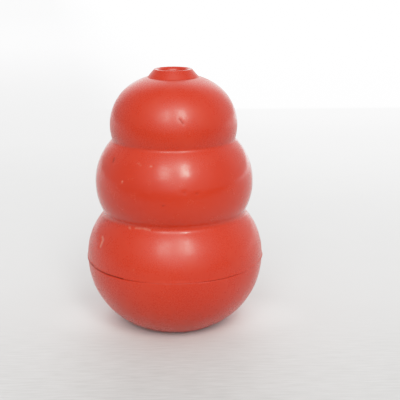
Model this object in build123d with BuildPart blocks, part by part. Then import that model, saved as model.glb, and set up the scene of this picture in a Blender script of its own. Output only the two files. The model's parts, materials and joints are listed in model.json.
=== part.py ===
"""Hollow rubber chew toy: three stacked bulbs, a stuffing mouth below and a vent collar on top.

The toy is a body of revolution about Z and stands on Z = 0. It is made of three rubber mouldings
that are cemented together: the lower bowl, the upper shell and the vent collar. Sizes are in mm.
"""

import os
from math import cos, hypot, radians, sin, sqrt
from typing import NamedTuple

from build123d import *

# Belly, the lowest and widest bulb, which the seam divides into bowl and shell
belly_radius = 34.65
seam_height = 27.6
belly_land = 0.95
belly_shoulder_arc = 24.1

# Lip that the shell carries at the seam, proud of the belly above and below it
lip_proud = 0.35
lip_edge = 0.3
lip_taper = 0.6

# Heel, the round between the bowl's side and its base
heel_round = 7.2

# Middle bulb, measured from the seam
middle_radius = 30.75
middle_rise = 30.15
middle_arc = 23.45

# Head, the smallest bulb, measured from the middle bulb's widest ring
head_radius = 24.6
head_rise = 22.2
head_throat_arc = 18.0
head_crown_arc = 18.55
head_crown_sweep = 59.5
head_cap_arc = 22.4

# Rounded creases between the bulbs
lower_crease_round = 2.2
upper_crease_round = 1.0

# Rubber wall, which follows the bulbs inside as outside
wall = 9.4

# Stepped lap at the seam: a tongue on the shell stands inside an upstand on the bowl
lap_depth = 4.5
tongue_thickness = 4.6
cement_gap = 0.1

# Stuffing mouth through the base, with the flat foot ring outside and the floor ring inside
mouth_radius = 11.5
mouth_round = 0.8
foot_width = 4.45
floor_width = 1.8

# Vent collar, a short cone on the crown with a shank through the wall
vent_radius = 5.2
rim_land = 2.1
rim_round = 0.45
collar_height = 3.05
shank_wall = 2.8
seat_width = 1.9


class Arc(NamedTuple):
    """A round stretch of the outline: its centre in the section plane and its radius."""

    r: float
    z: float
    radius: float


def bulb_arc(widest: float, height: float, radius: float) -> Arc:
    """The arc that stands upright at a bulb's widest ring."""
    return Arc(widest - radius, height, radius)


def crease_arc(below: Arc, above: Arc, radius: float) -> Arc:
    """The hollow arc of that radius that touches two bulbs from outside."""
    reach_below = below.radius + radius
    reach_above = above.radius + radius
    dr, dz = above.r - below.r, above.z - below.z
    span = hypot(dr, dz)
    along = (reach_below**2 - reach_above**2 + span**2) / (2 * span)
    out = sqrt(reach_below**2 - along**2)
    centre_r = below.r + (along * dr + out * dz) / span
    centre_z = below.z + (along * dz - out * dr) / span
    return Arc(centre_r, centre_z, radius)


def touch_point(bulb: Arc, crease: Arc, inset: float) -> tuple[float, float]:
    """The point where a bulb, drawn in by an inset, passes over into a crease."""
    share = (bulb.radius - inset) / (bulb.radius + crease.radius)
    return bulb.r + (crease.r - bulb.r) * share, bulb.z + (crease.z - bulb.z) * share


def arc_point(arc: Arc, angle: float, inset: float) -> tuple[float, float]:
    """The point of an arc, drawn in by an inset, at an angle in degrees above the widest ring."""
    turn, reach = radians(angle), arc.radius - inset
    return arc.r + reach * cos(turn), arc.z + reach * sin(turn)


def arc_height(arc: Arc, r: float, inset: float) -> float:
    """The height at which an arc, drawn in by an inset, passes over a radius."""
    return arc.z + sqrt((arc.radius - inset) ** 2 - (r - arc.r) ** 2)


def arc_onward(arc: Arc, angle: float, radius: float) -> Arc:
    """The arc of another radius that carries on from an arc at an angle."""
    return Arc(*arc_point(arc, angle, radius), radius)


# Where the bulbs come to stand
shoulder_height = seam_height + belly_land
middle_height = seam_height + middle_rise
head_height = middle_height + head_rise

shoulder = bulb_arc(belly_radius, shoulder_height, belly_shoulder_arc)
middle = bulb_arc(middle_radius, middle_height, middle_arc)
head_throat = bulb_arc(head_radius, head_height, head_throat_arc)
head_crown = bulb_arc(head_radius, head_height, head_crown_arc)
head_cap = arc_onward(head_crown, head_crown_sweep, head_cap_arc)
lower_crease = crease_arc(shoulder, middle, lower_crease_round)
upper_crease = crease_arc(middle, head_throat, upper_crease_round)

# The collar sits on a flat that is cut where the cap of the head is as wide as the collar's foot
shank_radius = vent_radius + shank_wall
collar_radius = shank_radius + seat_width
seat_height = arc_height(head_cap, collar_radius, 0)
top_height = seat_height + collar_height

# The lip's outer ring, the tongue inside the bowl's upstand, and the base and floor beside the mouth
lip_radius = belly_radius + lip_proud
lip_foot = seam_height + lip_edge
tongue_radius = belly_radius - wall + tongue_thickness
foot_radius = mouth_radius + foot_width
floor_radius = mouth_radius + floor_width


def shell_outline(inset: float, mode: Mode) -> None:
    """Adds or cuts the half section above the seam, drawn in by an inset."""
    side = belly_radius - inset
    cap_height = arc_height(head_cap, vent_radius, inset)
    with BuildLine() as outline:
        land = Polyline((0, cap_height), (0, seam_height), (side, seam_height), (side, shoulder_height))
        belly = TangentArc(land @ 1, touch_point(shoulder, lower_crease, inset), tangent=land % 1)
        waist = TangentArc(belly @ 1, touch_point(middle, lower_crease, inset), tangent=belly % 1)
        bulge = TangentArc(waist @ 1, touch_point(middle, upper_crease, inset), tangent=waist % 1)
        neck = TangentArc(bulge @ 1, touch_point(head_throat, upper_crease, inset), tangent=bulge % 1)
        throat = TangentArc(neck @ 1, (head_radius - inset, head_height), tangent=neck % 1)
        crown = TangentArc(throat @ 1, arc_point(head_crown, head_crown_sweep, inset), tangent=throat % 1)
        cap = TangentArc(crown @ 1, (vent_radius, cap_height), tangent=crown % 1)
        Line(cap @ 1, land @ 0)
    make_face(outline.edges(), mode=mode)


def bowl_hollow() -> None:
    """Cuts the part of the hollow that lies below the seam."""
    with BuildLine() as outline:
        round_wall = TangentArc((belly_radius - wall, seam_height), (floor_radius, wall), tangent=(0, -1))
        Polyline(round_wall @ 1, (0, wall), (0, seam_height), round_wall @ 0)
    make_face(outline.edges(), mode=Mode.SUBTRACT)


def core_section(radius: float, low: float, high: float, mode: Mode) -> None:
    """Adds or cuts the half section of a plain round core."""
    with Locations((radius / 2, (low + high) / 2)):
        Rectangle(radius, high - low, mode=mode)


# Lower bowl: the belly below the seam, with the stuffing mouth and the upstand of the lap
with BuildPart() as lower_bowl:
    with BuildSketch(Plane.XZ) as bowl_section:
        with BuildLine():
            side = TangentArc((belly_radius, seam_height), (foot_radius, 0), tangent=(0, -1))
            Polyline(side @ 1, (0, 0), (0, seam_height), side @ 0)
        make_face()
        fillet(bowl_section.vertices().group_by(Axis.Y)[0].sort_by(Axis.X)[-1], heel_round)
        bowl_hollow()
        core_section(tongue_radius + cement_gap, seam_height - lap_depth, seam_height, Mode.SUBTRACT)
        core_section(mouth_radius, 0, wall, Mode.SUBTRACT)
        fillet(bowl_section.vertices().group_by(Axis.X)[0], mouth_round)
    revolve(axis=Axis.Z)

# Upper shell: the rest of the bulbs, with the lip, the tongue of the lap and the collar's seat and hole
with BuildPart() as upper_shell:
    with BuildSketch(Plane.XZ):
        shell_outline(0, Mode.ADD)
        with BuildLine():
            Polyline(
                (tongue_radius, seam_height),
                (lip_radius, seam_height),
                (lip_radius, lip_foot),
                (belly_radius, lip_foot + lip_taper),
                (tongue_radius, lip_foot + lip_taper),
                close=True,
            )
        make_face()
        core_section(tongue_radius, seam_height - lap_depth, seam_height, Mode.ADD)
        shell_outline(wall, Mode.SUBTRACT)
        bowl_hollow()
        core_section(collar_radius, seat_height, top_height, Mode.SUBTRACT)
        core_section(shank_radius + cement_gap, seam_height, seat_height, Mode.SUBTRACT)
    revolve(axis=Axis.Z)

# Vent collar: cone on the seat, shank down to the roof of the hollow, vent right through
with BuildPart() as vent_collar:
    with BuildSketch(Plane.XZ) as collar_section:
        with BuildLine():
            Polyline(
                (0, seat_height),
                (collar_radius, seat_height),
                (vent_radius + rim_land, top_height),
                (0, top_height),
                close=True,
            )
        make_face()
        core_section(shank_radius, head_height, seat_height, Mode.ADD)
        shell_outline(wall, Mode.SUBTRACT)
        core_section(vent_radius, head_height, top_height, Mode.SUBTRACT)
        fillet(collar_section.vertices().group_by(Axis.Y)[-1], rim_round)
    revolve(axis=Axis.Z)

lower_bowl.part.label = "lower_bowl"
upper_shell.part.label = "upper_shell"
vent_collar.part.label = "vent_collar"

os.makedirs("parts", exist_ok=True)
for piece in (lower_bowl, upper_shell, vent_collar):
    export_step(piece.part, f"parts/{piece.part.label}.step")
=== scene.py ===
"""Looks of a hollow red rubber chew toy: three stacked bulbs, a lip at the seam and a vent collar.

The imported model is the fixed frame. Each of its three mouldings is replaced by a finer turned skin of
the same section, with the uneven surface, the worn lip and the nicks and scuffs of a used toy. Sizes are
in metres. Azimuth 0 is the side that faces the camera, and azimuths grow towards the camera's right.
"""

import json
import logging
from dataclasses import dataclass, field
from enum import Enum
from math import atan2, ceil, cos, hypot, pi, radians, sin, sqrt, tan

import bmesh
import bpy
import numpy as np
from mathutils import Euler, Matrix, Vector


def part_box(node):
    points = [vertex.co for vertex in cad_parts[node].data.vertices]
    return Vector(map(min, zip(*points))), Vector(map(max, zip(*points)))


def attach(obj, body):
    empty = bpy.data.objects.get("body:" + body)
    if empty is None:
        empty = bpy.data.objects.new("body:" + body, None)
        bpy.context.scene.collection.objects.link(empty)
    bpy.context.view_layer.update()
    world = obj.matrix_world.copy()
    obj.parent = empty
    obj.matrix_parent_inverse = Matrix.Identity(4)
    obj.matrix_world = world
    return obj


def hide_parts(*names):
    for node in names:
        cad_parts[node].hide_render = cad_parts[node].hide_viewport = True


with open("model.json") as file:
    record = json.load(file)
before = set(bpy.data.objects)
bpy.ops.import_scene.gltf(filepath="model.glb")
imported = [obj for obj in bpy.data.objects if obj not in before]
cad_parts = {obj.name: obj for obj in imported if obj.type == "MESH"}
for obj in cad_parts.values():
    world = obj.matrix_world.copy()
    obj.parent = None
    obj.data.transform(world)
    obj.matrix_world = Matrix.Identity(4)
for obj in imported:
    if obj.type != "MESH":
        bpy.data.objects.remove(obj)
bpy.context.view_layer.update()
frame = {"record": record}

MM = 0.001
BODY = "root"
LOG = logging.getLogger("chew_toy")

Colour = tuple[float, float, float]
Triple = tuple[float, float, float]
Point = tuple[float, float]
Socket = bpy.types.NodeSocket
Feed = Socket | float | int | tuple


class Wear(Enum):
    """What a mark does to the rubber, by the mesh attribute that carries it to the finish."""

    SCUFF = "scuff"
    # Dirty nicks and smudges, and painted shade along the seam's gap and in two dimples
    GRIME_AND_SHADE = "grime_and_shade"


@dataclass(frozen=True)
class Pattern:
    """A noise.

    Attributes:
        scale: how small its patches are.
        detail: how many layers of finer patches lie over them.
        roughness: how strongly the finer layers show.
    """

    scale: float
    detail: float = 2.0
    roughness: float = 0.5


@dataclass(frozen=True)
class Ramp:
    """A smooth rise from 0 to a top.

    Attributes:
        low: the value at which it begins.
        high: the value at which it has reached its top.
        top: how far it rises.
    """

    low: float
    high: float
    top: float = 1.0


@dataclass
class NodeBench:
    """Adds nodes to a tree and feeds their sockets.

    Attributes:
        tree: the material's, the world's or the geometry's node tree.
    """

    tree: bpy.types.NodeTree

    @classmethod
    def emptied(cls, owner: bpy.types.Material | bpy.types.World) -> "NodeBench":
        """Gives a material or a world an empty tree.

        Args:
            owner: the material or the world.

        Returns:
            The bench for its tree.
        """
        owner.use_nodes = True
        owner.node_tree.nodes.clear()
        return cls(owner.node_tree)

    def node(
        self, kind: str, feeds: dict[str | int, Feed] | None = None, **settings: object
    ) -> bpy.types.Node:
        """Adds one node.

        Args:
            kind: the node's type name.
            feeds: a value or an output for each input socket, by name or number.
            settings: the node's own properties.

        Returns:
            The new node.
        """
        made = self.tree.nodes.new(kind)
        for name, value in settings.items():
            setattr(made, name, value)
        for socket, value in (feeds or {}).items():
            self.feed(made.inputs[socket], value)
        return made

    def feed(self, socket: Socket, value: Feed) -> None:
        """Links an output to a socket, or sets the socket's own value.

        Args:
            socket: the input socket.
            value: the output or the value.
        """
        if isinstance(value, Socket):
            self.tree.links.new(value, socket)
        else:
            socket.default_value = value

    def math(self, operation: str, *terms: Feed) -> Socket:
        """Adds a Math node and returns its output."""
        return self.node("ShaderNodeMath", dict(enumerate(terms)), operation=operation).outputs[0]

    def vector(self, operation: str, *terms: Feed) -> bpy.types.NodeOutputs:
        """Adds a Vector Math node and returns its outputs."""
        return self.node("ShaderNodeVectorMath", dict(enumerate(terms)), operation=operation).outputs

    def noise(self, place: Feed, pattern: Pattern) -> Socket:
        """Adds a noise texture.

        Args:
            place: where it is looked up.
            pattern: what it is like.

        Returns:
            Its grey output, around one half.
        """
        feeds = {"Vector": place, "Scale": pattern.scale}
        feeds |= {"Detail": pattern.detail, "Roughness": pattern.roughness}
        return self.node("ShaderNodeTexNoise", feeds).outputs[0]

    def ramp(self, value: Feed, ramp: Ramp) -> Socket:
        """Adds a smooth Map Range node and returns its output."""
        feeds = {"Value": value, "From Min": ramp.low, "From Max": ramp.high, "To Max": ramp.top}
        return self.node("ShaderNodeMapRange", feeds, interpolation_type="SMOOTHSTEP").outputs[0]

    def mix(self, share: Feed, base: Feed, over: Feed) -> Socket:
        """Mixes two colours.

        Args:
            share: how much of the upper colour shows.
            base: the lower colour.
            over: the upper colour.

        Returns:
            The colour output.
        """
        made = self.node("ShaderNodeMix", data_type="RGBA")
        # The node keeps its sockets for numbers and vectors before those for colours
        for socket, value in ((0, share), (6, base), (7, over)):
            self.feed(made.inputs[socket], value)
        return made.outputs[2]


@dataclass(frozen=True)
class RubberFinish:
    """Satin natural rubber, coloured through, with haze, grain and the marks that the mesh carries.

    Attributes:
        name: the material's name.
        middle_height: where the middle bulb is widest.
        colour: clean red of the rubber.
        deep: the darker red of its cloudy patches.
        haze: the paler red where wax has come to the surface.
        scuffed: rubbed rubber.
        grimed_and_shaded: dark red of dirty nicks and smudges, and of the shade painted along the seam's
            gap and in two dimples.
        gloss: roughness where the skin is cleanest.
        matt: roughness where it is dullest.
        sheltered: how much smoother the middle bulb is, which the other two keep from being rubbed.
        clouds: pattern of the cloudy patches.
        clouds_show: how they show in the colour.
        hazes: pattern of the haze.
        hazes_show: how it shows in the colour.
        hazes_dull: how it takes away the gloss.
        pores: pattern of the pores.
        pores_dull: how they take away the gloss.
        pores_stand: height of the pores beside that of the waves.
        waves: pattern of the waves of the moulded skin.
        relief: height of the waves.
        frays: pattern that breaks up the marks.
        frays_gain: factor of that pattern, and what is added to it.
        frays_edge: how strong a mark has to be to show.
        scuff_covers: how far a rub covers the rubber.
        grime_and_shade_covers: how far dirty marks and painted shade cover it.
        speck_scale: how close together the pale specks could lie.
        speck_misses: share of those places that have none.
        speck_dot: how a speck fades away from its middle.
        specular: strength of the mirrored light.
        grime_and_shade_dulls: what dirty marks and painted shade take from it.
        refraction: refractive index of the skin.
    """

    name: str
    middle_height: float
    colour: Colour = (0.468, 0.026, 0.004)
    deep: Colour = (0.424, 0.0195, 0.003)
    haze: Colour = (0.493, 0.042, 0.011)
    scuffed: Colour = (0.59, 0.21, 0.145)
    grimed_and_shaded: Colour = (0.15, 0.018, 0.011)
    gloss: float = 0.21
    matt: float = 0.38
    sheltered: Ramp = Ramp(15.0 * MM, 9.0 * MM, 0.10)
    clouds: Pattern = Pattern(34.0, 3.0)
    clouds_show: Ramp = Ramp(0.35, 0.75, 0.6)
    hazes: Pattern = Pattern(130.0, 5.0, 0.62)
    hazes_show: Ramp = Ramp(0.48, 0.85, 0.4)
    hazes_dull: Ramp = Ramp(0.35, 0.65, 0.6)
    pores: Pattern = Pattern(2600.0)
    pores_dull: Ramp = Ramp(0.42, 0.58, 0.4)
    pores_stand: float = 0.2
    waves: Pattern = Pattern(420.0)
    relief: float = 0.022 * MM
    frays: Pattern = Pattern(900.0, 3.0, 0.7)
    frays_gain: Point = (1.3, 0.3)
    frays_edge: Ramp = Ramp(0.1, 0.85)
    scuff_covers: float = 0.8
    grime_and_shade_covers: float = 0.85
    speck_scale: float = 260.0
    speck_misses: float = 0.96
    speck_dot: Ramp = Ramp(0.10, 0.03, 0.4)
    specular: float = 0.5
    grime_and_shade_dulls: float = 0.45
    refraction: float = 1.5

    def build(self) -> bpy.types.Material:
        """Makes the material.

        Returns:
            A material that reads Object coordinates and the marks' attributes.
        """
        material = bpy.data.materials.new(self.name)
        bench = NodeBench.emptied(material)
        place = bench.node("ShaderNodeTexCoord").outputs["Object"]
        scuff = self.mark(bench, Wear.SCUFF, place)
        # Dirty marks, and the shade painted along the seam and in two dimples
        grime_and_shade = self.mark(bench, Wear.GRIME_AND_SHADE, place)
        hazy = bench.noise(place, self.hazes)
        grain = bench.noise(place, self.pores)
        mirrored = bench.math("MULTIPLY_ADD", grime_and_shade, -self.grime_and_shade_dulls, self.specular)
        skin = bench.node(
            "ShaderNodeBsdfPrincipled",
            {
                "Base Color": self.coloured(bench, place, hazy, scuff, grime_and_shade),
                "Roughness": self.dulled(bench, place, hazy, grain, scuff),
                "Specular IOR Level": mirrored,
                "Normal": self.grained(bench, place, grain),
                "IOR": self.refraction,
            },
        )
        bench.node("ShaderNodeOutputMaterial", {"Surface": skin.outputs[0]})
        return material

    def mark(self, bench: NodeBench, wear: Wear, place: Feed) -> Socket:
        """Reads one kind of wear from the mesh and breaks it up at its edges.

        Args:
            bench: the material's bench.
            wear: the kind of wear.
            place: where on the toy.

        Returns:
            The wear's strength.
        """
        drawn = bench.node("ShaderNodeAttribute", attribute_name=wear.value).outputs["Fac"]
        ragged = bench.math("MULTIPLY_ADD", bench.noise(place, self.frays), *self.frays_gain)
        return bench.ramp(bench.math("MULTIPLY", drawn, ragged), self.frays_edge)

    def coloured(self, bench: NodeBench, place: Feed, hazy: Feed, scuff: Feed, grime_and_shade: Feed) -> Socket:
        """Layers the colours of the rubber.

        Args:
            bench: the material's bench.
            place: where on the toy.
            hazy: the noise of the haze.
            scuff: strength of rubbed marks.
            grime_and_shade: strength of dirty marks and of painted shade.

        Returns:
            The colour output.
        """
        cloudy = bench.ramp(bench.noise(place, self.clouds), self.clouds_show)
        body = bench.mix(cloudy, (*self.colour, 1.0), (*self.deep, 1.0))
        bloomed = bench.mix(bench.ramp(hazy, self.hazes_show), body, (*self.haze, 1.0))
        specked = bench.mix(self.specks(bench, place), bloomed, (*self.scuffed, 1.0))
        rubs = bench.math("MULTIPLY", scuff, self.scuff_covers)
        # Darkens dirty marks, and paints shade along the seam's gap and in two dimples
        dirt_and_shade = bench.math("MULTIPLY", grime_and_shade, self.grime_and_shade_covers)
        rubbed = bench.mix(rubs, specked, (*self.scuffed, 1.0))
        return bench.mix(dirt_and_shade, rubbed, (*self.grimed_and_shaded, 1.0))

    def specks(self, bench: NodeBench, place: Feed) -> Socket:
        """Scatters a few tiny pale specks.

        Args:
            bench: the material's bench.
            place: where on the toy.

        Returns:
            The specks' strength.
        """
        cells = bench.node("ShaderNodeTexVoronoi", {"Vector": place, "Scale": self.speck_scale})
        chance = bench.node("ShaderNodeSeparateColor", {0: cells.outputs["Color"]}).outputs[0]
        chosen = bench.math("GREATER_THAN", chance, self.speck_misses)
        return bench.math("MULTIPLY", chosen, bench.ramp(cells.outputs["Distance"], self.speck_dot))

    def dulled(self, bench: NodeBench, place: Feed, hazy: Feed, grain: Feed, scuff: Feed) -> Socket:
        """Works out the roughness.

        Args:
            bench: the material's bench.
            place: where on the toy.
            hazy: the noise of the haze.
            grain: the noise of the pores.
            scuff: strength of rubbed marks.

        Returns:
            The roughness output.
        """
        patchy = bench.math("ADD", bench.ramp(grain, self.pores_dull), bench.ramp(hazy, self.hazes_dull))
        worn = bench.math("MAXIMUM", patchy, scuff)
        rubbed = bench.math("MULTIPLY_ADD", worn, self.matt - self.gloss, self.gloss)
        height = bench.node("ShaderNodeSeparateXYZ", {0: place}).outputs[2]
        away = bench.math("ABSOLUTE", bench.math("SUBTRACT", height, self.middle_height))
        return bench.math("SUBTRACT", rubbed, bench.ramp(away, self.sheltered))

    def grained(self, bench: NodeBench, place: Feed, grain: Feed) -> Socket:
        """Works out the fine relief of the moulded skin.

        Args:
            bench: the material's bench.
            place: where on the toy.
            grain: the noise of the pores.

        Returns:
            The normal output.
        """
        skin = bench.math("MULTIPLY_ADD", grain, self.pores_stand, bench.noise(place, self.waves))
        return bench.node("ShaderNodeBump", {"Height": skin, "Distance": self.relief}).outputs[0]


@dataclass(frozen=True)
class FloorFinish:
    """Pale painted floor that shows only from above, with a faint back edge and daylight on its right;
    its paleness is painted light and shade.

    Attributes:
        name: the material's name.
        near: its colour in front of the toy, dark as painted shade.
        far: its colour at the back.
        paling: how it grows paler towards the back, as painted light, and darker again behind its edge.
        mottle: its cloudy pattern.
        mottle_shows: how strongly that shows.
        lift: how it grows paler towards the toy, as painted light that lightens the shade round its foot.
        lift_shape: factors of the distance from the toy, across and along.
        wings_sides: how it grows paler to both sides in front, as painted light.
        wings_reach: how that gets stronger towards the front.
        strokes: pattern of the strokes of its paint.
        strokes_scale: how short and how thin they are.
        strokes_reach: how they get stronger towards the front.
        daylight: how the daylight on it grows towards the back.
        daylight_sides: how that grows towards the right.
        daylight_slant: how much further left that reaches, for each metre towards the back.
        roughness: how matt it is.
    """

    name: str = "pale_floor"
    # The dark colour in front is painted shade
    near: Colour = (0.17, 0.174, 0.168)
    far: Colour = (0.76, 0.76, 0.76)
    paling: tuple[Ramp, ...] = (
        Ramp(-0.3, -0.05, 0.49),
        Ramp(-0.1, 0.12, 0.33),
        Ramp(0.1, 0.5, 0.24),
        Ramp(0.485, 0.5, 0.05),
        Ramp(0.6, 1.9, -0.5),
    )
    mottle: Pattern = Pattern(40.0, 5.0)
    mottle_shows: float = 0.05
    lift: Ramp = Ramp(60.0 * MM, 20.0 * MM, 0.24)
    lift_shape: Triple = (1.0, 2.0, 0.0)
    wings_sides: Ramp = Ramp(12.0 * MM, 50.0 * MM, 0.07)
    wings_reach: Ramp = Ramp(110.0 * MM, 10.0 * MM)
    strokes: Pattern = Pattern(1.0, 3.0)
    strokes_scale: Triple = (110.0, 950.0, 0.0)
    strokes_reach: Ramp = Ramp(10.0 * MM, -45.0 * MM, 0.32)
    daylight: tuple[Ramp, ...] = (
        Ramp(0.05, 0.3, 0.15),
        Ramp(0.33, 0.48, 0.13),
        Ramp(0.482, 0.5, 0.6),
    )
    daylight_sides: Ramp = Ramp(-0.02, 0.17)
    daylight_slant: float = 0.15
    roughness: float = 0.75

    def build(self) -> bpy.types.Material:
        """Makes the floor's material.

        Returns:
            A material that reads Object coordinates and is clear from below.
        """
        material = bpy.data.materials.new(self.name)
        bench = NodeBench.emptied(material)
        place = bench.node("ShaderNodeTexCoord").outputs["Object"]
        side, depth, _ = bench.node("ShaderNodeSeparateXYZ", {0: place}).outputs
        pale = self.paled(bench, place, side, depth)
        paint = bench.node(
            "ShaderNodeBsdfPrincipled",
            {
                "Base Color": bench.mix(pale, (*self.near, 1.0), (*self.far, 1.0)),
                "Roughness": self.roughness,
                "Emission Color": (1.0, 1.0, 1.0, 1.0),
                "Emission Strength": self.lit(bench, place, depth),
            },
        )
        clear = bench.node("ShaderNodeBsdfTransparent")
        behind = bench.node("ShaderNodeNewGeometry").outputs["Backfacing"]
        sides = bench.node("ShaderNodeMixShader", {0: behind, 1: paint.outputs[0], 2: clear.outputs[0]})
        bench.node("ShaderNodeOutputMaterial", {"Surface": sides.outputs[0]})
        return material

    def paled(self, bench: NodeBench, place: Feed, side: Feed, depth: Feed) -> Socket:
        """Works out how pale the floor is, with its painted light and shade.

        Args:
            bench: the material's bench.
            place: where on the floor.
            side: how far to the right that is.
            depth: how far towards the back.

        Returns:
            The share of the colour at the back.
        """
        pale = bench.math("MULTIPLY", bench.noise(place, self.mottle), self.mottle_shows)
        # Painted light and shade: darker in front, paler towards the back
        for ramp in self.paling:
            pale = bench.math("ADD", pale, bench.ramp(depth, ramp))
        # Painted light round the toy's foot, which lightens its shade
        away = bench.vector("LENGTH", bench.vector("MULTIPLY", place, self.lift_shape)[0])["Value"]
        pale = bench.math("ADD", pale, bench.ramp(away, self.lift))
        # Painted light to both sides in front
        beside = bench.ramp(bench.math("ABSOLUTE", side), self.wings_sides)
        pale = bench.math("MULTIPLY_ADD", beside, bench.ramp(depth, self.wings_reach), pale)
        brushed = bench.vector("MULTIPLY", place, self.strokes_scale)[0]
        stroke = bench.math("SUBTRACT", bench.noise(brushed, self.strokes), 0.5)
        return bench.math("MULTIPLY_ADD", stroke, bench.ramp(depth, self.strokes_reach), pale)

    def lit(self, bench: NodeBench, place: Feed, depth: Feed) -> Socket:
        """Works out how much daylight lies on the floor.

        Args:
            bench: the material's bench.
            place: where on the floor.
            depth: how far towards the back that is.

        Returns:
            The daylight's radiance.
        """
        right = bench.vector("DOT_PRODUCT", place, (1.0, self.daylight_slant, 0.0))["Value"]
        falling: Feed = 0.0
        for ramp in self.daylight:
            falling = bench.math("ADD", falling, bench.ramp(depth, ramp))
        return bench.math("MULTIPLY", falling, bench.ramp(right, self.daylight_sides))


@dataclass(frozen=True)
class Arc:
    """A round stretch of the section.

    Attributes:
        r: how far from the toy's axis its centre lies.
        z: how high its centre lies.
        radius: its own radius.
    """

    r: float
    z: float
    radius: float

    def at(self, angle: float) -> Point:
        """The point of the arc at an angle from the outward direction."""
        return self.r + self.radius * cos(angle), self.z + self.radius * sin(angle)

    def angle_to(self, r: float, z: float) -> float:
        """The angle at which the arc's centre sees a point."""
        return atan2(z - self.z, r - self.r)

    def bearing(self, other: "Arc") -> float:
        """The angle at which the arc's centre sees another's."""
        return self.angle_to(other.r, other.z)

    def drawn_in(self, inset: float) -> "Arc":
        """The arc with the same centre and a radius smaller by the inset."""
        return Arc(self.r, self.z, self.radius - inset)


@dataclass
class Outline:
    """A closed half section that is drawn point by point, in radius and height.

    Attributes:
        step: the longest distance between two points.
        points: the points so far.
        same: share of a step within which two points count as one.
    """

    step: float
    points: list[Point] = field(default_factory=list)
    same: float = 0.01

    def start(self, r: float, z: float) -> "Outline":
        """Sets down the first point."""
        self.points.append((r, z))
        return self

    def at_step(self, step: float) -> "Outline":
        """Goes on with another distance between the points."""
        self.step = step
        return self

    def line(self, r: float, z: float) -> "Outline":
        """Draws a straight stretch.

        Args:
            r: radius of its end.
            z: height of its end.

        Returns:
            The outline.
        """
        r0, z0 = self.points[-1]
        count = max(1, ceil(hypot(r - r0, z - z0) / self.step))
        for i in range(1, count + 1):
            self.points.append((r0 + (r - r0) * i / count, z0 + (z - z0) * i / count))
        return self

    def arc(self, arc: Arc, start: float, end: float) -> "Outline":
        """Draws a round stretch, and a straight one to its start where that lies apart.

        Args:
            arc: the arc that it lies on.
            start: angle at which it starts.
            end: angle at which it ends.

        Returns:
            The outline.
        """
        if self.gap(arc.at(start)) > self.step * self.same:
            self.points.append(arc.at(start))
        count = max(2, ceil(abs(end - start) * arc.radius / self.step))
        for i in range(1, count + 1):
            self.points.append(arc.at(start + (end - start) * i / count))
        return self

    def gap(self, point: Point) -> float:
        """How far a point lies from the last one."""
        return hypot(point[0] - self.points[-1][0], point[1] - self.points[-1][1])

    def closed(self) -> list[Point]:
        """The points, without the last if it repeats the first."""
        return self.points[:-1] if self.gap(self.points[0]) < self.step * self.same else self.points


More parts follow.
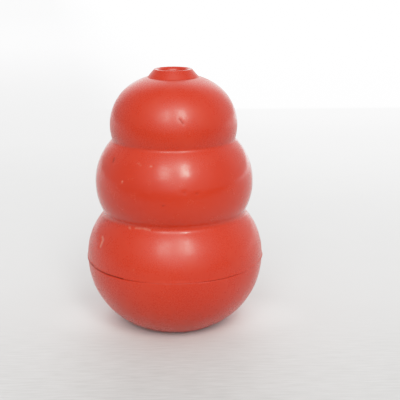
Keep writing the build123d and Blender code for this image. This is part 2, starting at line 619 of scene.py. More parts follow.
@dataclass(frozen=True)
class ToySizes:
    """The sizes that shape the toy. The frame holds the first eight, which are read from it.

    Attributes:
        belly_radius: the bowl at the seam.
        lip_radius: outer ring of the lip.
        seam_height: where bowl and shell meet.
        seat_height: the flat on the crown that the collar sits on.
        top_height: the collar's rim.
        collar_radius: the collar's foot.
        vent_radius: the bore through the collar.
        mouth_radius: the opening in the base.
        belly_land: upright stretch of the belly above the seam.
        shoulder_arc: roundness of the belly above that.
        lip_edge: upright stretch of the lip.
        lip_taper: height over which the lip runs out into the belly.
        heel_round: corner between the bowl's side and its base.
        middle_radius: widest ring of the middle bulb.
        middle_rise: that ring above the seam.
        middle_arc: roundness of the middle bulb.
        head_radius: widest ring of the head.
        head_rise: that ring above the middle bulb's.
        throat_arc: roundness of the head below that ring.
        crown_arc: roundness of the head above it.
        crown_sweep: angle at which the crown passes over into the cap.
        cap_arc: roundness of the head's top.
        lower_crease_round: crease between belly and middle bulb.
        upper_crease_round: crease between middle bulb and head.
        wall: thickness of the rubber.
        lap_depth: how far the shell's tongue reaches below the seam.
        tongue_thickness: thickness of the tongue at the seam.
        cement_gap: room for cement beside tongue and shank.
        mouth_round: edges of the mouth.
        foot_width: base beside the mouth, up to the corner that the heel rounds.
        floor_width: floor inside, beside the mouth.
        rim_land: width of the collar's rim.
        rim_round: outer edge of the rim.
        shank_wall: thickness of the collar's shank.
    """

    belly_radius: float
    lip_radius: float
    seam_height: float
    seat_height: float
    top_height: float
    collar_radius: float
    vent_radius: float
    mouth_radius: float
    belly_land: float = 0.95 * MM
    shoulder_arc: float = 24.1 * MM
    lip_edge: float = 0.3 * MM
    lip_taper: float = 0.6 * MM
    heel_round: float = 7.2 * MM
    middle_radius: float = 30.75 * MM
    middle_rise: float = 30.15 * MM
    middle_arc: float = 23.45 * MM
    head_radius: float = 24.6 * MM
    head_rise: float = 22.2 * MM
    throat_arc: float = 18.0 * MM
    crown_arc: float = 18.55 * MM
    crown_sweep: float = radians(59.5)
    cap_arc: float = 22.4 * MM
    lower_crease_round: float = 2.2 * MM
    upper_crease_round: float = 1.0 * MM
    wall: float = 9.4 * MM
    lap_depth: float = 4.5 * MM
    tongue_thickness: float = 4.6 * MM
    cement_gap: float = 0.1 * MM
    mouth_round: float = 0.8 * MM
    foot_width: float = 4.45 * MM
    floor_width: float = 1.8 * MM
    rim_land: float = 2.1 * MM
    rim_round: float = 0.45 * MM
    shank_wall: float = 2.8 * MM

    @classmethod
    def from_frame(cls) -> "ToySizes":
        """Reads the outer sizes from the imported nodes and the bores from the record's mounts.

        Returns:
            The toy's sizes.
        """
        bowl, shell, collar = (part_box(node)[1] for node in ("lower_bowl", "upper_shell", "vent_collar"))
        mounts = {mount["name"]: mount["dims"] for mount in frame["record"]["mounts"]}
        return cls(
            belly_radius=bowl.x,
            lip_radius=shell.x,
            seam_height=bowl.z,
            seat_height=shell.z,
            top_height=collar.z,
            collar_radius=collar.x,
            vent_radius=mounts["top_vent"]["r_mm"] * MM,
            mouth_radius=mounts["base_mouth"]["r_mm"] * MM,
        )

    @property
    def shoulder(self) -> Arc:
        """Upper half of the belly."""
        centre = self.belly_radius - self.shoulder_arc
        return Arc(centre, self.seam_height + self.belly_land, self.shoulder_arc)

    @property
    def middle(self) -> Arc:
        """The middle bulb."""
        centre = self.middle_radius - self.middle_arc
        return Arc(centre, self.seam_height + self.middle_rise, self.middle_arc)

    @property
    def throat(self) -> Arc:
        """Lower half of the head."""
        return Arc(self.head_radius - self.throat_arc, self.middle.z + self.head_rise, self.throat_arc)

    @property
    def crown(self) -> Arc:
        """The head above its widest ring."""
        return Arc(self.head_radius - self.crown_arc, self.throat.z, self.crown_arc)

    @property
    def cap(self) -> Arc:
        """The flatter top of the head, which carries on from the crown."""
        return Arc(*self.crown.drawn_in(self.cap_arc).at(self.crown_sweep), self.cap_arc)

    @property
    def lower_crease(self) -> Arc:
        """The hollow between belly and middle bulb."""
        return crease_between(self.shoulder, self.middle, self.lower_crease_round)

    @property
    def upper_crease(self) -> Arc:
        """The hollow between middle bulb and head."""
        return crease_between(self.middle, self.throat, self.upper_crease_round)

    @property
    def side(self) -> Arc:
        """The bowl's side, from the seam to the corner of its foot."""
        return self.bowl_wall(self.belly_radius, self.mouth_radius + self.foot_width, self.seam_height)

    @property
    def heel(self) -> Arc:
        """The rounded corner between side and base.

        Returns:
            The arc that touches both.
        """
        side, rounding = self.side, self.heel_round
        across = sqrt((side.radius - rounding) ** 2 - (rounding - side.z) ** 2)
        return Arc(side.r + across, rounding, rounding)

    @property
    def bowl_inside(self) -> Arc:
        """The round inner wall of the bowl."""
        rim, floor = self.belly_radius - self.wall, self.mouth_radius + self.floor_width
        return self.bowl_wall(rim, floor, self.seam_height - self.wall)

    def bowl_wall(self, rim: float, floor: float, rise: float) -> Arc:
        """The arc that is upright at the seam and comes down to a smaller radius.

        Args:
            rim: radius at the seam.
            floor: radius at its lower end.
            rise: height of the seam above that end.

        Returns:
            The arc.
        """
        overhang = rim - floor
        radius = (overhang**2 + rise**2) / (2 * overhang)
        return Arc(rim - radius, self.seam_height, radius)

    @property
    def lap_angle(self) -> float:
        """Where the tongue's tip lies on the bowl's inner wall."""
        return -atan2(self.lap_depth, sqrt(self.bowl_inside.radius**2 - self.lap_depth**2))

    @property
    def tongue_radius(self) -> float:
        """Outside of the shell's tongue."""
        return self.belly_radius - self.wall + self.tongue_thickness

    @property
    def shank_radius(self) -> float:
        """Outside of the collar's shank."""
        return self.vent_radius + self.shank_wall

    def roof_at(self, r: float) -> float:
        """Height of the hollow's roof at a radius."""
        inside = self.cap.drawn_in(self.wall)
        return inside.z + sqrt(inside.radius**2 - (r - inside.r) ** 2)


def crease_between(below: Arc, above: Arc, radius: float) -> Arc:
    """The hollow arc of a radius that touches two bulbs from outside.

    Args:
        below: the lower bulb.
        above: the upper bulb.
        radius: how round the crease is.

    Returns:
        The crease's arc.
    """
    reach_below, reach_above = below.radius + radius, above.radius + radius
    dr, dz = above.r - below.r, above.z - below.z
    span = hypot(dr, dz)
    along = (reach_below**2 - reach_above**2 + span**2) / (2 * span)
    out = sqrt(reach_below**2 - along**2)
    centre = below.r + (along * dr + out * dz) / span
    return Arc(centre, below.z + (along * dz - out * dr) / span, radius)


def draw_bulbs(outline: Outline, sizes: ToySizes, inset: float) -> None:
    """Draws the bulbs upwards, from the belly's land to the head's widest ring.

    Args:
        outline: the outline that is drawn on.
        sizes: the toy's sizes.
        inset: how far inside the skin they are drawn.
    """
    shoulder, middle, throat = sizes.shoulder, sizes.middle, sizes.throat
    low, high = sizes.lower_crease, sizes.upper_crease
    outline.line(sizes.belly_radius - inset, shoulder.z)
    outline.arc(shoulder.drawn_in(inset), 0.0, shoulder.bearing(low))
    outline.arc(low.drawn_in(-inset), shoulder.bearing(low) + pi, middle.bearing(low) + pi)
    outline.arc(middle.drawn_in(inset), middle.bearing(low), middle.bearing(high))
    outline.arc(high.drawn_in(-inset), middle.bearing(high) + pi, throat.bearing(high) + pi)
    outline.arc(throat.drawn_in(inset), throat.bearing(high), 0.0)


def in_scene(name: str, data: bpy.types.ID) -> bpy.types.Object:
    """Puts a mesh, a light or a camera into the scene.

    Args:
        name: the new object's name.
        data: what it shows.

    Returns:
        The object.
    """
    made = bpy.data.objects.new(name, data)
    bpy.context.scene.collection.objects.link(made)
    return made


@dataclass
class Lathe:
    """Turns half sections into closed skins with one Geometry Nodes tree.

    The tree lays a grid over the section's points and the steps round the axis, wraps it, closes it and
    swells it by a slow noise, as rubber does that has shrunk unevenly in its mould.

    Attributes:
        swell: how far the skin swells and shrinks.
        swell_scale: how small its swells are.
        swell_detail: how many layers of finer swells lie over them.
        seed: picks the swells.
        weld: points nearer than this become one.
        smooth_angle: sharper edges than this stay sharp.
    """

    swell: float = 0.16 * MM
    swell_scale: float = 45.0
    swell_detail: float = 2.0
    seed: float = 2.0
    weld: float = 0.001 * MM
    smooth_angle: float = 38.0

    def __post_init__(self) -> None:
        """Builds the tree with its named inputs."""
        self.tree = bpy.data.node_groups.new("turned_rubber", "GeometryNodeTree")
        face = self.tree.interface
        face.new_socket("Geometry", in_out="OUTPUT", socket_type="NodeSocketGeometry")
        face.new_socket("Section", in_out="INPUT", socket_type="NodeSocketGeometry")
        for name, kind in (
            ("Steps Round", "NodeSocketInt"),
            ("Swell", "NodeSocketFloat"),
            ("Swell Scale", "NodeSocketFloat"),
            ("Swell Detail", "NodeSocketFloat"),
            ("Seed", "NodeSocketFloat"),
            ("Rubber", "NodeSocketMaterial"),
        ):
            face.new_socket(name, in_out="INPUT", socket_type=kind)
        bench = NodeBench(self.tree)
        given = bench.node("NodeGroupInput").outputs
        turned = self.wrap(bench, given)
        welded = bench.node("GeometryNodeMergeByDistance", {"Geometry": turned, "Distance": self.weld})
        swollen = self.swollen(bench, given, welded.outputs[0])
        real = bench.node("GeometryNodeRealizeInstances", {0: swollen})
        feeds = {"Geometry": real.outputs[0], "Material": given["Rubber"]}
        dressed = bench.node("GeometryNodeSetMaterial", feeds)
        bench.node("NodeGroupOutput", {0: dressed.outputs[0]})

    @staticmethod
    def wrap(bench: NodeBench, given: bpy.types.NodeOutputs) -> Socket:
        """Adds the nodes that wrap a grid round the axis, with its seam at the back.

        Args:
            bench: the tree's bench.
            given: the tree's inputs.

        Returns:
            The turned skin, still open along its seams.
        """
        counted = bench.node("GeometryNodeAttributeDomainSize", {0: given["Section"]})
        count = counted.outputs["Point Count"]
        rings, sides = bench.math("ADD", count, 1.0), bench.math("ADD", given["Steps Round"], 1.0)
        feeds = {"Size X": 1.0, "Size Y": 1.0, "Vertices X": rings, "Vertices Y": sides}
        grid = bench.node("GeometryNodeMeshGrid", feeds)
        place = bench.node("GeometryNodeInputPosition").outputs[0]
        across = bench.node("ShaderNodeSeparateXYZ", {0: place}).outputs
        ring = bench.math("ROUND", bench.math("MULTIPLY", bench.math("ADD", across[0], 0.5), count))
        turn = bench.math("MULTIPLY_ADD", across[1], 2 * pi, -pi / 2)
        picked = bench.node("GeometryNodeSampleIndex", data_type="FLOAT_VECTOR")
        bench.feed(picked.inputs["Geometry"], given["Section"])
        bench.feed(picked.inputs["Value"], place)
        bench.feed(picked.inputs["Index"], bench.math("MODULO", ring, count))
        spot = bench.node("ShaderNodeSeparateXYZ", {0: picked.outputs[0]}).outputs
        wrapped = bench.node(
            "ShaderNodeCombineXYZ",
            {
                "X": bench.math("MULTIPLY", spot[0], bench.math("COSINE", turn)),
                "Y": bench.math("MULTIPLY", spot[0], bench.math("SINE", turn)),
                "Z": spot[2],
            },
        )
        feeds = {"Geometry": grid.outputs[0], "Position": wrapped.outputs[0]}
        return bench.node("GeometryNodeSetPosition", feeds).outputs[0]

    @staticmethod
    def swollen(bench: NodeBench, given: bpy.types.NodeOutputs, skin: Feed) -> Socket:
        """Adds the nodes that move a skin along its normals by a slow noise.

        Args:
            bench: the tree's bench.
            given: the tree's inputs.
            skin: the skin.

        Returns:
            The swollen skin.
        """
        place = bench.node("GeometryNodeInputPosition").outputs[0]
        feeds = {"Vector": place, "W": given["Seed"], "Scale": given["Swell Scale"]}
        feeds["Detail"] = given["Swell Detail"]
        lumps = bench.node("ShaderNodeTexNoise", feeds, noise_dimensions="4D").outputs[0]
        lift = bench.math("MULTIPLY", bench.math("SUBTRACT", lumps, 0.5), given["Swell"])
        outward = bench.node("GeometryNodeInputNormal").outputs[0]
        push = bench.node("ShaderNodeVectorMath", {0: outward, "Scale": lift}, operation="SCALE")
        feeds = {"Geometry": skin, "Offset": push.outputs[0]}
        return bench.node("GeometryNodeSetPosition", feeds).outputs[0]

    def turn(
        self, name: str, section: list[Point], rubber: bpy.types.Material, steps: int
    ) -> bpy.types.Object:
        """Turns one section into a piece.

        Args:
            name: the piece's name.
            section: the closed half section in radius and height.
            rubber: the finish.
            steps: facets round the axis.

        Returns:
            The piece, as a plain mesh whose faces point outwards.
        """
        blank = bpy.data.meshes.new(f"{name}_section")
        blank.from_pydata([(r, 0.0, z) for r, z in section], [], [])
        holder = in_scene(f"{name}_section", blank)
        modifier = holder.modifiers.new("turn", "NODES")
        modifier.node_group = self.tree
        settings = {
            "Steps Round": steps,
            "Swell": self.swell,
            "Swell Scale": self.swell_scale,
            "Swell Detail": self.swell_detail,
            "Seed": self.seed,
            "Rubber": rubber,
        }
        for socket in self.tree.interface.items_tree:
            if socket.name in settings:
                modifier[socket.identifier] = settings[socket.name]
        evaluated = holder.evaluated_get(bpy.context.evaluated_depsgraph_get())
        mesh = bpy.data.meshes.new_from_object(evaluated)
        mesh.name = name
        bpy.data.objects.remove(holder)
        bpy.data.meshes.remove(blank)
        self.point_outwards(mesh)
        return in_scene(name, mesh)

    def point_outwards(self, mesh: bpy.types.Mesh) -> None:
        """Turns the faces of a closed mesh outwards and shades it smooth up to its edges.

        Args:
            mesh: the mesh.
        """
        work = bmesh.new()
        work.from_mesh(mesh)
        bmesh.ops.recalc_face_normals(work, faces=work.faces)
        work.to_mesh(mesh)
        work.free()
        mesh.shade_smooth()
        mesh.set_sharp_from_angle(angle=radians(self.smooth_angle))


@dataclass(frozen=True)
class Mark:
    """A nick, rub or smudge on the outside, or a line of painted shade.

    Attributes:
        wear: what it does to the finish.
        path: its points, as azimuth in degrees and height in millimetres.
        width: half its width in millimetres.
        depth: how deep it is pressed in, in millimetres.
        strength: how strongly it changes the finish.
    """

    wear: Wear
    path: tuple[Point, ...]
    width: float
    depth: float
    strength: float = 1.0


@dataclass(frozen=True)
class Press:
    """A broad dent where the toy has been squeezed.

    Attributes:
        azimuth: of its middle, in degrees.
        height: of its middle, in millimetres.
        reach: how far it reaches out from there, in millimetres.
        depth: how deep it is, in millimetres.
    """

    azimuth: float
    height: float
    reach: float
    depth: float


# Heights of the seam and of the lip's lower edge in millimetres, and degrees between points along them
SEAM_LEVEL, LIP_LEVEL, SEAM_STEP = 27.6, 27.72, 6


def along_seam(first: int, last: int, height: float) -> tuple[Point, ...]:
    """The path of a mark that follows the seam between two azimuths, at a height in millimetres."""
    return tuple((azimuth, height) for azimuth in range(first, last + 1, SEAM_STEP))


MARKS = (
    Mark(Wear.GRIME_AND_SHADE, ((-55.2, 70.2), (-54.8, 69.2)), 0.8, 0.12, 0.6),
    Mark(Wear.SCUFF, ((-17.5, 69.6), (-17.1, 69.4)), 0.4, 0.12, 0.85),
    Mark(Wear.SCUFF, ((-28.8, 70.3), (-25.8, 69.7)), 0.45, 0.08, 0.45),
    Mark(Wear.SCUFF, ((-39.2, 63.3), (-39.0, 63.1)), 0.45, 0.10, 0.9),
    Mark(Wear.GRIME_AND_SHADE, ((-7.8, 55.9), (-7.4, 55.8)), 0.5, 0.20, 0.6),
    # Two dimples: pressed in, and darkened as painted shade in them
    Mark(Wear.GRIME_AND_SHADE, ((15.0, 60.2), (15.8, 60.0)), 0.55, 0.14, 0.55),
    Mark(Wear.GRIME_AND_SHADE, ((6.3, 60.8), (7.0, 60.6)), 0.55, 0.14, 0.45),
    Mark(Wear.SCUFF, ((-60.5, 39.8), (-57.7, 38.9), (-58.5, 36.3)), 0.55, 0.20, 0.85),
    Mark(Wear.SCUFF, ((-37.0, 45.5), (-36.2, 45.2)), 0.6, 0.08, 0.6),
    Mark(Wear.SCUFF, ((-31.3, 45.7), (-24.5, 45.9), (-18.8, 45.7)), 0.4, 0.10, 0.68),
    Mark(Wear.GRIME_AND_SHADE, ((5.0, 86.2), (8.2, 84.6)), 0.5, 0.10, 0.6),
    Mark(Wear.SCUFF, ((13.0, 81.5), (13.2, 81.3)), 0.45, 0.08, 0.35),
    Mark(Wear.SCUFF, ((42.2, 74.8), (42.4, 74.6)), 0.45, 0.08, 0.35),
    # Painted shade in the seam's gap under the lip: dark lines with no depth
    Mark(Wear.GRIME_AND_SHADE, along_seam(-100, -64, LIP_LEVEL), 0.4, 0.0, 1.0),
    Mark(Wear.GRIME_AND_SHADE, along_seam(-64, -28, SEAM_LEVEL), 0.3, 0.0, 0.9),
    Mark(Wear.GRIME_AND_SHADE, along_seam(72, 96, LIP_LEVEL), 0.35, 0.0, 0.8),
    Mark(Wear.GRIME_AND_SHADE, along_seam(18, 42, SEAM_LEVEL), 0.25, 0.0, 0.5),
)

PRESSES = (
    Press(38.0, 57.0, 11.0, 0.12),
    Press(150.0, 84.0, 10.0, 0.25),
    Press(-150.0, 34.0, 12.0, 0.30),
)


@dataclass
class Moulding:
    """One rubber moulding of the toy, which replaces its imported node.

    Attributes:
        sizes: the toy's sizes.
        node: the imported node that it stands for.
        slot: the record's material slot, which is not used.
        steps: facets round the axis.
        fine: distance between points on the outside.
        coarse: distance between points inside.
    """

    sizes: ToySizes
    node: str
    slot: str
    steps: int = 320
    fine: float = 0.62 * MM
    coarse: float = 1.6 * MM

    def section(self) -> list[Point]:
        """The moulding's closed half section."""
        raise NotImplementedError

    def outward(self, height: np.ndarray, radius: np.ndarray, turn: np.ndarray) -> np.ndarray:
        """Works out how far each point has moved where the moulding isn't a plain turning.

        Args:
            height: each point's height.
            radius: each point's distance from the axis.
            turn: each point's azimuth.

        Returns:
            How far each point has moved out from the axis.
        """
        return np.zeros(len(height))

    def build(self, lathe: Lathe, rubber: bpy.types.Material) -> bpy.types.Object:
        """Turns the piece, shapes and wears it and hands it to the frame.

        Args:
            lathe: turns the section.
            rubber: the finish.

        Returns:
            The finished piece.
        """
        piece = lathe.turn(f"{self.node}_skin", self.section(), rubber, self.steps)
        points = read_vectors(piece.data, "co")
        radius = np.hypot(points[:, 0], points[:, 1])
        moved = self.outward(points[:, 2], radius, np.arctan2(points[:, 0], -points[:, 1]))
        points[:, :2] *= (1 + moved / radius)[:, None]
        write_points(piece.data, points)
        self.dress(piece.data)
        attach(piece, BODY)
        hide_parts(self.node)
        return piece

    @staticmethod
    def dress(mesh: bpy.types.Mesh) -> None:
        """Presses the dents and marks into the skin and stores how strongly each point is worn, and where
        shade is painted on it.

        Args:
            mesh: the piece's mesh.
        """
        points, normals = read_vectors(mesh, "co"), read_vectors(mesh, "normal")
        worn = {wear: np.zeros(len(points)) for wear in Wear}
        depth = np.zeros(len(points))
        for press in PRESSES:
            centre = on_skin(points, normals, press.azimuth, press.height)
            away = np.linalg.norm(points - centre, axis=1) / (press.reach * MM)
            depth += press.depth * MM * np.exp(-(away**2))
        for mark in MARKS:
            path = np.array([on_skin(points, normals, *spot) for spot in mark.path])
            near = np.exp(-((distance_to_path(points, path) / (mark.width * MM)) ** 2))
            depth += mark.depth * MM * near
            worn[mark.wear] = np.maximum(worn[mark.wear], near * mark.strength)
        write_points(mesh, points - normals * depth[:, None])
        for wear, values in worn.items():
            layer = mesh.attributes.new(wear.value, "FLOAT", "POINT")
            layer.data.foreach_set("value", values.astype(np.float32))


def read_vectors(mesh: bpy.types.Mesh, what: str) -> np.ndarray:
    """Reads the points or the normals of a mesh.

    Args:
        mesh: the mesh.
        what: "co" for the points, "normal" for the normals.

    Returns:
        One row for each point.
    """
    flat = np.empty(len(mesh.vertices) * 3)
    mesh.vertices.foreach_get(what, flat)
    return flat.reshape(-1, 3)


def write_points(mesh: bpy.types.Mesh, points: np.ndarray) -> None:
    """Puts an array of points back into the mesh."""
    mesh.vertices.foreach_set("co", points.ravel())
    mesh.update()


# How squarely a point of the outside faces an azimuth, how near it has to lie to that azimuth, how far
# above or below a height it may lie, and the radius of a place that a piece doesn't reach
FACING, IN_LINE, NEAR_BY, FAR_OFF = 0.3, 0.99, 1.0 * MM, 1.0


def on_skin(points: np.ndarray, normals: np.ndarray, azimuth: float, height: float) -> np.ndarray:
    """The place on the outside of a piece at an azimuth and a height.

    Args:
        points: the piece's points.
        normals: their normals.
        azimuth: in degrees.
        height: in millimetres.

    Returns:
        The place, far from the piece if the piece doesn't reach that height.
    """
    out = np.array((sin(radians(azimuth)), -cos(radians(azimuth)), 0.0))
    radius, off_level = np.hypot(points[:, 0], points[:, 1]), np.abs(points[:, 2] - height * MM)
    outside = (normals @ out > FACING) & (points @ out > IN_LINE * radius)
    nearest = np.argmin(np.where(outside, off_level, np.inf))
    reach = radius[nearest] if off_level[nearest] < NEAR_BY else FAR_OFF
    return out * reach + np.array((0.0, 0.0, height * MM))


def distance_to_path(points: np.ndarray, path: np.ndarray) -> np.ndarray:
    """Distance of each point from a line of straight stretches.

    Args:
        points: the points.
        path: corners of the line.

    Returns:
        One distance for each point.
    """
    best, least = np.full(len(points), np.inf), 1e-12
    for start, end in zip(path[:-1], path[1:]):
        run = end - start
        share = np.clip((points - start) @ run / max(run @ run, least), 0.0, 1.0)
        best = np.minimum(best, np.linalg.norm(points - start - share[:, None] * run, axis=1))
    return best


@dataclass(frozen=True)
class Fray:
    """A fixed random variation round the axis.

    Attributes:
        amount: how far it mostly goes above and below 1.
        seed: picks how it varies.
        waves: how many times each part of it goes up and down in one turn.
    """

    amount: float
    seed: int
    waves: tuple[int, ...]

    def at(self, turn: np.ndarray) -> np.ndarray:
        """Works out the variation.

        Args:
            turn: azimuth of each point.

        Returns:
            A factor for each point.
        """
        phases = np.random.default_rng(self.seed).uniform(0, 2 * pi, len(self.waves))
        total = sum(np.sin(n * turn + phase) for n, phase in zip(self.waves, phases))
        return 1 + self.amount * (total / sqrt(len(self.waves)))


@dataclass(frozen=True)
class Stretch:
    """A stretch of the ring that is worn more than the rest.

    Attributes:
        azimuth: its middle, in degrees.
        spread: how far it reaches to each side, in degrees.
        share: how much it is worn, over most of its length.
        flatness: how suddenly that falls to 0 at its ends.
    """

    azimuth: float
    spread: float
    share: float
    flatness: int = 8

    def at(self, turn: np.ndarray) -> np.ndarray:
        """Works out the wear.

        Args:
            turn: azimuth of each point.

        Returns:
            The wear at each point.
        """
        away = (turn - radians(self.azimuth) + pi) % (2 * pi) - pi
        return self.share * np.exp(-((away / radians(self.spread)) ** self.flatness))


@dataclass
class UpperShell(Moulding):
    """The bulbs down to the seam, with the lip that stands proud there and the tongue inside it.

    Attributes:
        lip_round: rounding of the lip's lower edge.
        lip_finer: how many times closer the points lie on the lip.
        fray: how the lip's width varies.
        worn: where it has worn away.
        lip_margin: how far below the seam the swollen lip may hang.
    """

    node: str = "upper_shell"
    slot: str = "rubber_body"
    lip_round: float = 0.12 * MM
    lip_finer: int = 4
    fray: Fray = Fray(0.2, 11, (3, 7, 12, 19, 31))
    worn: Stretch = Stretch(0.0, 72.0, 0.8)
    lip_margin: float = 0.2 * MM

    def section(self) -> list[Point]:
        """Draws the half section from the tongue's tip outwards, up and back down inside.

        Returns:
            The shell's closed half section.
        """
        s = self.sizes
        inside, tip = s.bowl_inside, s.seam_height - s.lap_depth
        outline = Outline(self.coarse).start(*inside.at(s.lap_angle))
        outline.line(s.tongue_radius, tip).line(s.tongue_radius, s.seam_height)
        outline.line(s.lip_radius - self.lip_round, s.seam_height).at_step(self.fine / self.lip_finer)
        lip = Arc(s.lip_radius - self.lip_round, s.seam_height + self.lip_round, self.lip_round)
        outline.arc(lip, -pi / 2, 0.0).line(s.lip_radius, s.seam_height + s.lip_edge)
        outline.line(s.belly_radius, s.seam_height + s.lip_edge + s.lip_taper).at_step(self.fine)
        draw_bulbs(outline, s, 0.0)
        outline.arc(s.crown, 0.0, s.crown_sweep)
        seat_edge = s.cap.angle_to(s.collar_radius, s.seat_height)
        outline.arc(s.cap, s.crown_sweep, seat_edge).at_step(self.coarse)
        hole = s.shank_radius + s.cement_gap
        outline.line(hole, s.seat_height).line(hole, s.roof_at(hole))
        inner = Outline(self.coarse).start(s.belly_radius - s.wall, s.seam_height)
        draw_bulbs(inner, s, s.wall)
        roof = s.cap.drawn_in(s.wall)
        inner.arc(s.crown.drawn_in(s.wall), 0.0, s.crown_sweep)
        inner.arc(roof, s.crown_sweep, roof.angle_to(hole, s.roof_at(hole)))
        outline.points += inner.points[-2::-1]
        return outline.arc(inside, 0.0, s.lap_angle).closed()

    def outward(self, height: np.ndarray, radius: np.ndarray, turn: np.ndarray) -> np.ndarray:
        """Frays the lip and wears it down at the front.

        Args:
            height: each point's height.
            radius: each point's distance from the axis.
            turn: each point's azimuth.

        Returns:
            How far each point has moved out from the axis.
        """
        s = self.sizes
        above = height - s.seam_height
        band = (above > -self.lip_margin) & (above < s.lip_edge + s.lip_taper)
        proud = np.where(band, np.clip(radius - s.belly_radius, 0.0, None), 0.0)
        keep = (1 - self.worn.at(turn)) * self.fray.at(turn)
        return proud * (keep - 1)


@dataclass
class LowerBowl(Moulding):
    """The belly below the seam, with the mouth, the foot ring and the upstand round the tongue.

    Attributes:
        edge_round: rounding of the edge under the lip.
        edge_finer: how many times closer the points lie on that edge.
        mouth_finer: how many times closer they lie on the mouth's edges.
        gape: how far that edge is drawn in where the seam gapes in full.
        gape_reach: how far down the edge it is drawn in.
        gape_least: how much the seam gapes all round.
        fray: how that varies.
        gapes: where the seam gapes more.
    """

    node: str = "lower_bowl"
    slot: str = "rubber_body"
    edge_round: float = 0.15 * MM
    edge_finer: int = 4
    mouth_finer: int = 3
    gape: float = 0.7 * MM
    gape_reach: float = 0.8 * MM
    gape_least: float = 0.1
    fray: Fray = Fray(0.2, 21, (5, 11, 17, 29))
    gapes: tuple[Stretch, ...] = (
        Stretch(-64.0, 44.0, 0.9),
        Stretch(30.0, 16.0, 0.5),
        Stretch(150.0, 50.0, 0.5),
    )

    def section(self) -> list[Point]:
        """Draws the half section from the mouth outwards, up to the seam and back down inside.

        Returns:
            The bowl's closed half section.
        """
        s = self.sizes
        inside, side, heel = s.bowl_inside, s.side, s.heel
        step, edge = s.seam_height - s.lap_depth, s.mouth_radius + s.mouth_round
        rebate = s.tongue_radius + s.cement_gap
        under = Arc(edge, s.mouth_round, s.mouth_round)
        over = Arc(edge, s.wall - s.mouth_round, s.mouth_round)
        mouth_step, edge_step = self.fine / self.mouth_finer, self.fine / self.edge_finer
        outline = Outline(mouth_step).start(*under.at(-pi)).arc(under, -pi, -pi / 2)
        outline.at_step(self.fine).line(heel.r, 0.0).arc(heel, -pi / 2, side.bearing(heel))
        outline.arc(side, side.bearing(heel), -self.gape_reach / side.radius).at_step(edge_step)
        outline.line(s.belly_radius, s.seam_height - self.edge_round)
        rim = Arc(s.belly_radius - self.edge_round, s.seam_height - self.edge_round, self.edge_round)
        outline.arc(rim, 0.0, pi / 2).at_step(self.coarse)
        outline.line(rebate, s.seam_height).line(rebate, step)
        foot = inside.angle_to(s.mouth_radius + s.floor_width, s.wall)
        outline.line(*inside.at(s.lap_angle)).arc(inside, s.lap_angle, foot)
        outline.line(edge, s.wall).at_step(mouth_step).arc(over, pi / 2, pi)
        return outline.at_step(self.coarse).line(s.mouth_radius, s.mouth_round).closed()

    def outward(self, height: np.ndarray, radius: np.ndarray, turn: np.ndarray) -> np.ndarray:
        """Draws the edge in below the lip, so that the seam gapes there in stretches.

        Args:
            height: each point's height.
            radius: each point's distance from the axis.
            turn: each point's azimuth.

        Returns:
            How far each point has moved out from the axis.
        """
        s = self.sizes
        below = s.seam_height - height
        fade = np.clip(1 - below / self.gape_reach, 0.0, 1.0) ** 2
        fade = np.where(radius > s.tongue_radius + 2 * s.cement_gap, fade, 0.0)
        more = sum(gape.at(turn) for gape in self.gapes)
        return -(self.gape_least + more) * (self.gape * self.fray.at(turn)) * fade


@dataclass
class VentCollar(Moulding):
    """The cone on the crown, with the vent through it and the shank in the wall.

    Attributes:
        flare: rounding of the rim towards the vent, which has worn wider than it was moulded.
        cone_finer: how many times closer the points lie on the cone.
        rim_finer: how many times closer they lie on the rim.
    """

    node: str = "vent_collar"
    slot: str = "rubber_collar"
    flare: float = 1.8 * MM
    cone_finer: int = 2
    rim_finer: int = 5

    def section(self) -> list[Point]:
        """Draws the half section from the shank's end up the outside and down the vent.

        Returns:
            The collar's closed half section.
        """
        s = self.sizes
        rim = s.vent_radius + s.rim_land
        slope = atan2(s.top_height - s.seat_height, rim - s.collar_radius)
        outer = Arc(rim - s.rim_round / tan(slope / 2), s.top_height - s.rim_round, s.rim_round)
        inner = Arc(s.vent_radius + self.flare, s.top_height - self.flare, self.flare)
        outline = Outline(self.coarse).start(s.vent_radius, s.roof_at(s.vent_radius))
        outline.line(s.shank_radius, s.roof_at(s.shank_radius)).line(s.shank_radius, s.seat_height)
        outline.line(s.collar_radius, s.seat_height).at_step(self.fine / self.cone_finer)
        outline.line(*outer.at(slope - pi / 2)).at_step(self.fine / self.rim_finer)
        outline.arc(outer, slope - pi / 2, pi / 2).line(*inner.at(pi / 2)).arc(inner, pi / 2, pi)
        return outline.at_step(self.coarse).line(s.vent_radius, s.roof_at(s.vent_radius)).closed()


def heading(azimuth: float, elevation: float) -> Vector:
    """The direction at an azimuth and an elevation, both in degrees."""
    turn, rise = radians(azimuth), radians(elevation)
    return Vector((sin(turn) * cos(rise), -cos(turn) * cos(rise), sin(rise)))


@dataclass(frozen=True)
class SoftBox:
    """A rectangular studio light.

    Attributes:
        name: the light's name.
        aim: the point that it faces.
        azimuth: degrees to the camera's right, seen from that point.
        elevation: degrees above it.
        distance: from it.
        width: across.
        height: upwards.
        radiance: how bright its face is, where 1 is paper white.
        tint: its colour.
        spread: degrees of the cone that it shines into.
        mirrored: whether it shows in the rubber's gloss.
    """

    name: str
    aim: Triple
    azimuth: float
    elevation: float
    distance: float
    width: float
    height: float
    radiance: float
    tint: Colour = (1.0, 0.99, 0.92)
    spread: float = 180.0
    mirrored: bool = True

    def build(self) -> bpy.types.Object:
        """Makes the light.

        Returns:
            The light.
        """
        way = heading(self.azimuth, self.elevation)
        lamp = bpy.data.lights.new(self.name, "AREA")
        lamp.color = self.tint
        lamp.shape = "RECTANGLE"
        lamp.size, lamp.size_y = self.width, self.height
        lamp.energy = self.radiance * pi * self.width * self.height
        lamp.spread = radians(self.spread)
        made = in_scene(self.name, lamp)
        made.location = Vector(self.aim) + way * self.distance
        made.rotation_euler = way.to_track_quat("Z", "Y").to_euler()
        made.visible_glossy = self.mirrored
        return made


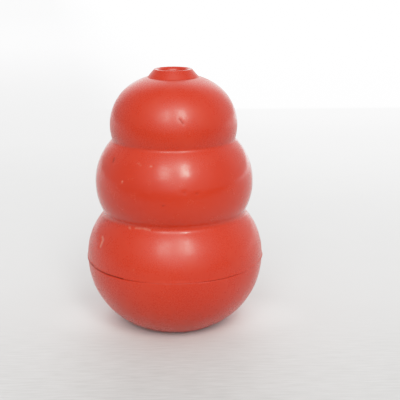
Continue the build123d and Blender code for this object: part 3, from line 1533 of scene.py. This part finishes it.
@dataclass(frozen=True)
class Glow:
    """A soft bright patch of the surround.

    Attributes:
        azimuth: degrees from the camera's side to its middle.
        elevation: degrees from the floor up to its middle.
        reach: degrees from its middle to where it has faded out.
        radiance: how much brighter its middle is.
    """

    azimuth: float
    elevation: float
    reach: float
    radiance: float

    def shine(self, bench: NodeBench, way: Feed) -> Socket:
        """Adds the nodes that light up the directions near its middle.

        Args:
            bench: the world's bench.
            way: the direction.

        Returns:
            How much brighter that direction is.
        """
        middle = tuple(heading(self.azimuth, self.elevation))
        facing = bench.vector("DOT_PRODUCT", way, middle)["Value"]
        return bench.ramp(facing, Ramp(cos(radians(self.reach)), 1.0, self.radiance))


TOY_MIDDLE = (0.0, 0.0, 0.055)


@dataclass
class Studio:
    """The pale floor, the soft light and the camera.

    Attributes:
        boxes: the soft boxes.
        surround: radiance of the surround.
        surround_tint: its colour.
        glows: its brighter patches.
        tones: the tone that the picture gives to each radiance.
        white: the radiance that comes out as white.
        floor_radius: how far the floor reaches.
        floor_height: how much of the foot it covers, so that no gap shows under the uneven base.
        floor_sides: how many corners it has.
        camera_distance: from the toy's axis, level.
        camera_height: above the floor.
        camera_pitch: degrees that it looks down.
        camera_yaw: degrees that it looks to the right of the toy.
        camera_roll: degrees that it leans to the right.
        camera_clip: the nearest and farthest that it sees.
        focal_pixels: focal length in pixels of the picture.
        picture_pixels: the picture's width.
    """

    boxes: tuple[SoftBox, ...] = (
        SoftBox("window_right", TOY_MIDDLE, 17.3, 39.0, 1.2, width=0.23, height=0.52, radiance=11.5),
        SoftBox("window_left", TOY_MIDDLE, -15.5, 36.5, 1.2, width=0.27, height=0.48, radiance=5.4),
        SoftBox(
            "back_wash",
            (0.5, 3.2, 0.0),
            azimuth=0.0,
            elevation=90.0,
            distance=1.3,
            width=5.0,
            height=4.4,
            radiance=1.75,
            tint=(0.98, 0.99, 1.02),
            spread=95.0,
            mirrored=False,
        ),
    )
    surround: float = 0.33
    surround_tint: Colour = (1.0, 1.0, 1.0)
    glows: tuple[Glow, ...] = (
        Glow(2.0, 37.0, 38.0, 1.6),
        Glow(2.0, 37.0, 65.0, 0.85),
        Glow(180.0, 25.0, 48.0, 1.1),
        Glow(-150.0, 15.0, 60.0, 0.25),
        Glow(150.0, 15.0, 60.0, 0.55),
        Glow(-75.0, 10.0, 58.0, 0.2),
        Glow(75.0, 8.0, 62.0, 0.35),
        Glow(0.0, 90.0, 60.0, 0.12),
    )
    tones: tuple[Point, ...] = (
        (0.2, 0.2),
        (0.4, 0.4),
        (0.6, 0.6),
        (0.8, 0.74),
        (1.0, 0.83),
        (1.2, 0.895),
        (1.5, 0.955),
        (2.0, 0.99),
    )
    white: float = 2.5
    floor_radius: float = 6.0
    floor_height: float = 0.1 * MM
    floor_sides: int = 96
    camera_distance: float = 335.0 * MM
    camera_height: float = 144.3 * MM
    camera_pitch: float = 15.81
    camera_yaw: float = 1.72
    camera_roll: float = 0.19
    camera_clip: Point = (0.01, 20.0)
    focal_pixels: float = 881.0
    picture_pixels: float = 400.0

    def build(self) -> None:
        """Makes the whole studio."""
        self.lay_floor()
        self.hang_surround()
        self.develop()
        for box in self.boxes:
            box.build()
        self.set_camera()

    def lay_floor(self) -> None:
        """Lays a round floor under the toy."""
        mesh = bpy.data.meshes.new("floor")
        work = bmesh.new()
        level = Matrix.Translation((0.0, 0.0, self.floor_height))
        sides, reach = self.floor_sides, self.floor_radius
        bmesh.ops.create_circle(work, cap_ends=True, segments=sides, radius=reach, matrix=level)
        work.to_mesh(mesh)
        work.free()
        mesh.materials.append(FloorFinish().build())
        floor = in_scene("floor", mesh)

    def hang_surround(self) -> None:
        """Sets a white surround with its glows."""
        world = bpy.data.worlds.new("white_surround")
        bench = NodeBench.emptied(world)
        way = bench.node("ShaderNodeTexCoord").outputs["Generated"]
        strength: Feed = self.surround
        for glow in self.glows:
            strength = bench.math("ADD", strength, glow.shine(bench, way))
        feeds = {"Color": (*self.surround_tint, 1.0), "Strength": strength}
        white = bench.node("ShaderNodeBackground", feeds)
        bench.node("ShaderNodeOutputWorld", {"Surface": white.outputs[0]})
        bpy.context.scene.world = world

    def develop(self) -> None:
        """Rolls off the bright tones softly, as the photograph does."""
        view = bpy.context.scene.view_settings
        view.view_transform = "Standard"
        view.use_curve_mapping = True
        view.curve_mapping.white_level = (self.white, self.white, self.white)
        *_, curve = view.curve_mapping.curves
        for radiance, tone in self.tones:
            curve.points.new(radiance / self.white, tone)
        view.curve_mapping.update()

    def set_camera(self) -> None:
        """Sets the camera at the photograph's angle."""
        lens = bpy.data.cameras.new("camera")
        lens.lens = self.focal_pixels / self.picture_pixels * lens.sensor_width
        lens.clip_start, lens.clip_end = self.camera_clip
        camera = in_scene("camera", lens)
        look = Euler((radians(90.0 - self.camera_pitch), 0.0, -radians(self.camera_yaw))).to_matrix()
        camera.rotation_euler = (look @ Matrix.Rotation(-radians(self.camera_roll), 3, "Z")).to_euler()
        camera.location = (0.0, -self.camera_distance, self.camera_height)
        bpy.context.scene.camera = camera


def main() -> None:
    """Builds the toy piece by piece, then the studio."""
    logging.basicConfig(level=logging.INFO, format="%(name)s: %(message)s")
    sizes = ToySizes.from_frame()
    lathe = Lathe()
    body_rubber = RubberFinish("red_rubber", sizes.middle.z).build()
    collar_red = (0.472, 0.0265, 0.0045)
    collar_rubber = RubberFinish("red_rubber_collar", sizes.middle.z, collar_red).build()
    for moulding, rubber in (
        (LowerBowl(sizes), body_rubber),
        (UpperShell(sizes), body_rubber),
        (VentCollar(sizes), collar_rubber),
    ):
        piece = moulding.build(lathe, rubber)
        faces = len(piece.data.polygons)
        LOG.info("%s: %d faces, on %s, for %s", piece.name, faces, BODY, moulding.node)
    Studio().build()
    LOG.info("studio: floor, surround, soft boxes and camera")


if __name__ == "__main__":
    main()
